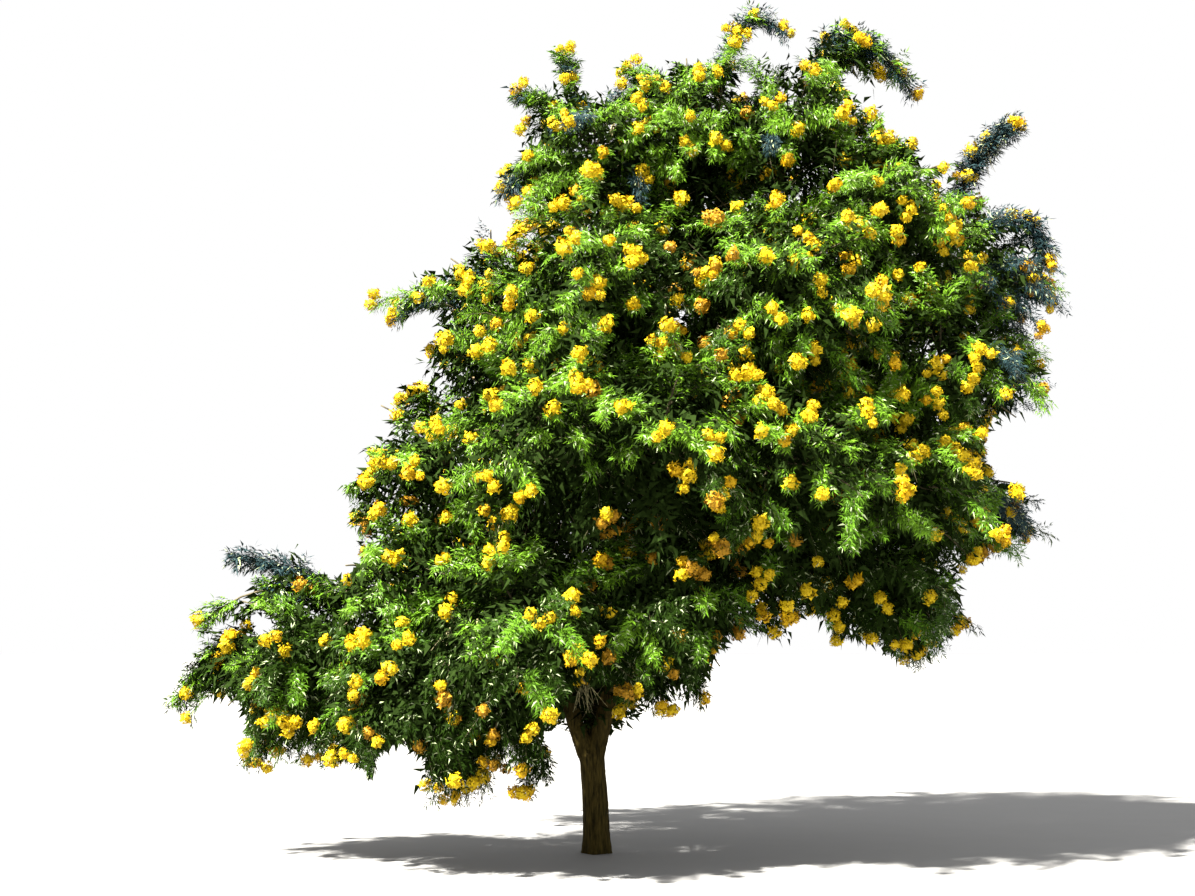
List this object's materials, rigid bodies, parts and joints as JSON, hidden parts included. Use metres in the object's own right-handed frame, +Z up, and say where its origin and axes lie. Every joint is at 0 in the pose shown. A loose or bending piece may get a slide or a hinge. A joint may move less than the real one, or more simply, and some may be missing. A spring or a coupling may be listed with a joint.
{
  "type": "yellow trumpet bush, grown as a small tree",
  "caption": "Yellow trumpet bush grown as a small tree: short dark trunk forking low into stems, one-sided crown of arching leafy sprays, and yellow trumpet flower clusters at the shoot ends",
  "frame": {"origin": "middle of the trunk's flat cut at ground level", "axes": "+Z up the trunk; +X to the right as the picture shows the tree, where the crown reaches furthest; -Y towards the viewer of the picture"},
  "size_m": [6.7801, 5.1751, 6.39],
  "materials": {
    "bark": "rough, finely fissured bark",
    "foliage": "soft satin leaves"
  },
  "bodies": {
    "root": {"trunk": "bark", "left_stem": "bark", "right_stem": "bark", "middle_stem": "bark", "top_left_bough": "bark", "right_shoulder_bough": "bark", "right_top_bough": "bark", "centre_left_bough": "bark", "centre_right_bough": "bark", "right_middle_bough": "bark", "left_flank_bough": "bark", "front_left_bough": "bark", "front_middle_bough": "bark", "front_right_bough": "bark", "right_low_bough": "bark", "right_edge_bough": "bark", "skirt_tip_bough": "bark", "skirt_middle_bough": "bark", "skirt_low_bough": "bark", "low_left_bough": "bark", "low_middle_bough": "bark", "low_right_bough": "bark", "hem_right_bough": "bark", "back_top_bough": "bark", "back_left_bough": "bark", "back_middle_bough": "bark", "back_right_bough": "bark", "back_low_left_bough": "bark", "back_low_right_bough": "bark", "top_left_foliage": "foliage", "top_middle_foliage": "foliage", "top_right_foliage": "foliage", "right_shoulder_foliage": "foliage", "right_top_foliage": "foliage", "left_shoulder_foliage": "foliage", "centre_left_foliage": "foliage", "centre_right_foliage": "foliage", "right_middle_foliage": "foliage", "left_flank_foliage": "foliage", "front_left_foliage": "foliage", "front_middle_foliage": "foliage", "front_right_foliage": "foliage", "right_low_foliage": "foliage", "right_edge_foliage": "foliage", "skirt_tip_foliage": "foliage", "skirt_middle_foliage": "foliage", "skirt_low_foliage": "foliage", "low_left_foliage": "foliage", "low_middle_foliage": "foliage", "low_right_foliage": "foliage", "hem_right_foliage": "foliage", "back_top_foliage": "foliage", "back_left_foliage": "foliage", "back_middle_foliage": "foliage", "back_right_foliage": "foliage", "back_low_left_foliage": "foliage", "back_low_right_foliage": "foliage"}
  },
  "joints": []
}
